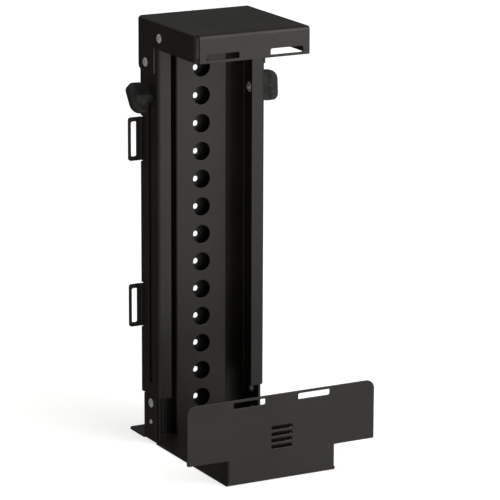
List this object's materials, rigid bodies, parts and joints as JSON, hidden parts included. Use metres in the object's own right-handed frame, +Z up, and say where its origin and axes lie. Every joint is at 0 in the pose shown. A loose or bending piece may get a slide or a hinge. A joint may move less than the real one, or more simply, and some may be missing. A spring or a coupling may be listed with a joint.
{
  "type": "cpu holder",
  "caption": "Height-adjustable computer holder: a flat wall column with a tray and wide front panel below, and a lipped hood that slides up on two side rails held by clamp knobs.",
  "frame": {"origin": "underside of the tray, in the middle of its width and of its whole depth", "axes": "+X to the holder's right seen from the front, +Y towards the wall, +Z up"},
  "size_m": [0.1474, 0.155, 0.31],
  "materials": {
    "sheet": "black satin powder coat",
    "rivet": "bare blind rivet",
    "fastener": "zinc plated",
    "knob": "matt moulded"
  },
  "bodies": {
    "lower_section": {"back_channel": "sheet", "access_channel": "sheet", "base_tray": "sheet", "foot_pin_left": "fastener", "foot_pin_right": "fastener", "foot_rivet_left": "rivet", "foot_rivet_right": "rivet", "weld_nut_left": "fastener", "weld_nut_right": "fastener"},
    "upper_section": {"rail_left": "sheet", "rail_right": "sheet", "hood": "sheet", "hood_rivet_left_low": "rivet", "hood_rivet_left_high": "rivet", "hood_rivet_right_low": "rivet", "hood_rivet_right_high": "rivet"},
    "left_clamp": {"clamp_screw_left": "fastener", "washer_left": "fastener", "knob_left": "knob"},
    "right_clamp": {"clamp_screw_right": "fastener", "washer_right": "fastener", "knob_right": "knob"}
  },
  "joints": [
    {"name": "height_slide", "type": "slide", "parent": "lower_section", "child": "upper_section", "axis": [0, 0, 1], "range_m": [0, 0.206]},
    {"name": "left_knob_turn", "type": "hinge", "parent": "lower_section", "child": "left_clamp", "pos_m": [-0.044, 0.0415, 0.2539], "axis": [-1, 0, 0], "range_deg": [0, 720]},
    {"name": "right_knob_turn", "type": "hinge", "parent": "lower_section", "child": "right_clamp", "pos_m": [0.044, 0.0415, 0.2539], "axis": [1, 0, 0], "range_deg": [0, 720]}
  ]
}
